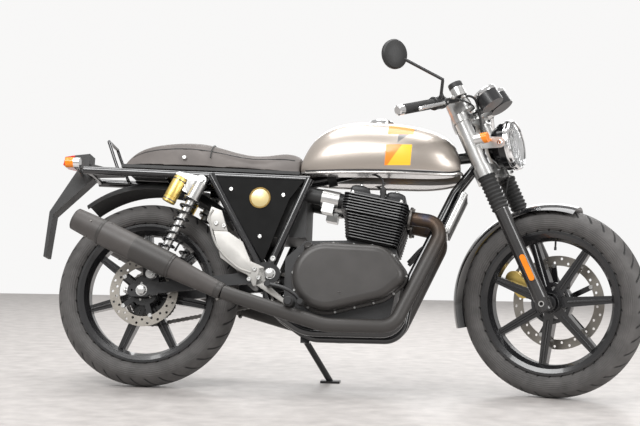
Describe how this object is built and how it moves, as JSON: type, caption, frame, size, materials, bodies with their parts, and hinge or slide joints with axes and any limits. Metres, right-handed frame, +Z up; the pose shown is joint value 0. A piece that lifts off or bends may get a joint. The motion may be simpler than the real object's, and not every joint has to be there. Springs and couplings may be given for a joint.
{
  "type": "cafe racer motorcycle",
  "caption": "Cafe racer motorcycle with an air-cooled parallel twin, twin upswept mufflers and cast wheels, leaning on its side stand.",
  "frame": {"origin": "middle of the bounding box's base, on the floor", "axes": "+X forward, +Y to the rider's left, +Z up; the machine leans towards +Y on its side stand"},
  "size_m": [2.0792, 0.7972, 1.1929],
  "materials": {
    "tyre": "matte black rubber with a road tread",
    "gloss_black": "gloss black paint",
    "satin_black": "satin black powder coat",
    "engine_black": "black coated cast alloy with light edges",
    "cover_grey": "satin dark grey cast cover",
    "exhaust_black": "matte black heat-resistant coating",
    "tank_silver": "warm silver metallic with an orange and yellow band",
    "bright_alloy": "polished and cast light alloy",
    "disc_steel": "ground stainless steel",
    "chain_steel": "oiled steel",
    "gold": "gold anodised",
    "seat_black": "grained black seat cover",
    "black_plastic": "moulded black plastic",
    "rubber": "moulded black rubber",
    "red_lens": "clear red lens",
    "amber_lens": "amber lenses on black and silver bodies",
    "clear_lens": "clear fluted glass"
  },
  "bodies": {
    "chassis": {"airbox": "black_plastic", "cam_cover": "engine_black", "crankcase": "engine_black", "cylinder_block": "engine_black", "cylinder_head": "engine_black", "drive_chain": "chain_steel", "engine_covers": "cover_grey", "exhaust_pipes": "exhaust_black", "foot_hangers": "bright_alloy", "fuel_tank": "tank_silver", "main_frame": "gloss_black", "mufflers": "exhaust_black", "oil_cooler": "engine_black", "pegs_and_pedals": "satin_black", "rear_axle": "bright_alloy", "rear_caliper": "satin_black", "rear_frame": "gloss_black", "rear_indicators": "amber_lens", "rear_mudguard": "black_plastic", "seat_base": "black_plastic", "seat_pad": "seat_black", "shock_bodies": "bright_alloy", "shock_reservoirs": "gold", "shock_springs": "satin_black", "side_covers": "gloss_black", "swingarm": "satin_black", "tail_bracket": "black_plastic", "tail_light": "red_lens", "tank_saddles": "rubber", "throttle_bodies": "bright_alloy"},
    "steering": {"clip_on_bars": "satin_black", "fork_gaiters": "rubber", "fork_sliders": "gloss_black", "front_axle": "bright_alloy", "front_caliper": "gold", "front_indicators": "amber_lens", "front_mudguard": "gloss_black", "grips": "rubber", "hand_levers": "bright_alloy", "headlight_ears": "bright_alloy", "headlight_lens": "clear_lens", "headlight_shell": "gloss_black", "instrument_pods": "satin_black", "mirrors": "satin_black", "yokes_and_tubes": "satin_black"},
    "front_wheel": {"front_brake_disc": "disc_steel", "front_tyre": "tyre", "front_wheel_casting": "satin_black"},
    "rear_wheel": {"rear_brake_disc": "disc_steel", "rear_sprocket": "chain_steel", "rear_tyre": "tyre", "rear_wheel_casting": "satin_black"},
    "side_stand": {"side_stand": "satin_black"},
    "fuel_cap": {"fuel_cap": "bright_alloy"}
  },
  "joints": [
    {"name": "steering", "type": "hinge", "parent": "chassis", "child": "steering", "pos_m": [0.46919, -0.04658, 0.83229], "axis": [-0.4089, 0.1819, 0.8942], "range_deg": [-10, 56]},
    {"name": "front_wheel", "type": "hinge", "parent": "steering", "child": "front_wheel", "pos_m": [0.73834, -0.16417, 0.3184], "axis": [0.3566, 0.9339, -0.0269], "continuous": true},
    {"name": "rear_wheel", "type": "hinge", "parent": "chassis", "child": "rear_wheel", "pos_m": [-0.65729, -0.15191, 0.31459], "axis": [0, 0.9799, -0.1994], "continuous": true},
    {"name": "side_stand", "type": "hinge", "parent": "chassis", "child": "side_stand", "pos_m": [-0.11196, -0.05519, 0.15797], "axis": [0.048, 0.7972, 0.6018], "range_deg": [0, 112]},
    {"name": "fuel_cap", "type": "hinge", "parent": "chassis", "child": "fuel_cap", "pos_m": [0.18521, -0.0266, 0.9305], "axis": [0, 0.9799, -0.1994], "range_deg": [0, 95]}
  ]
}
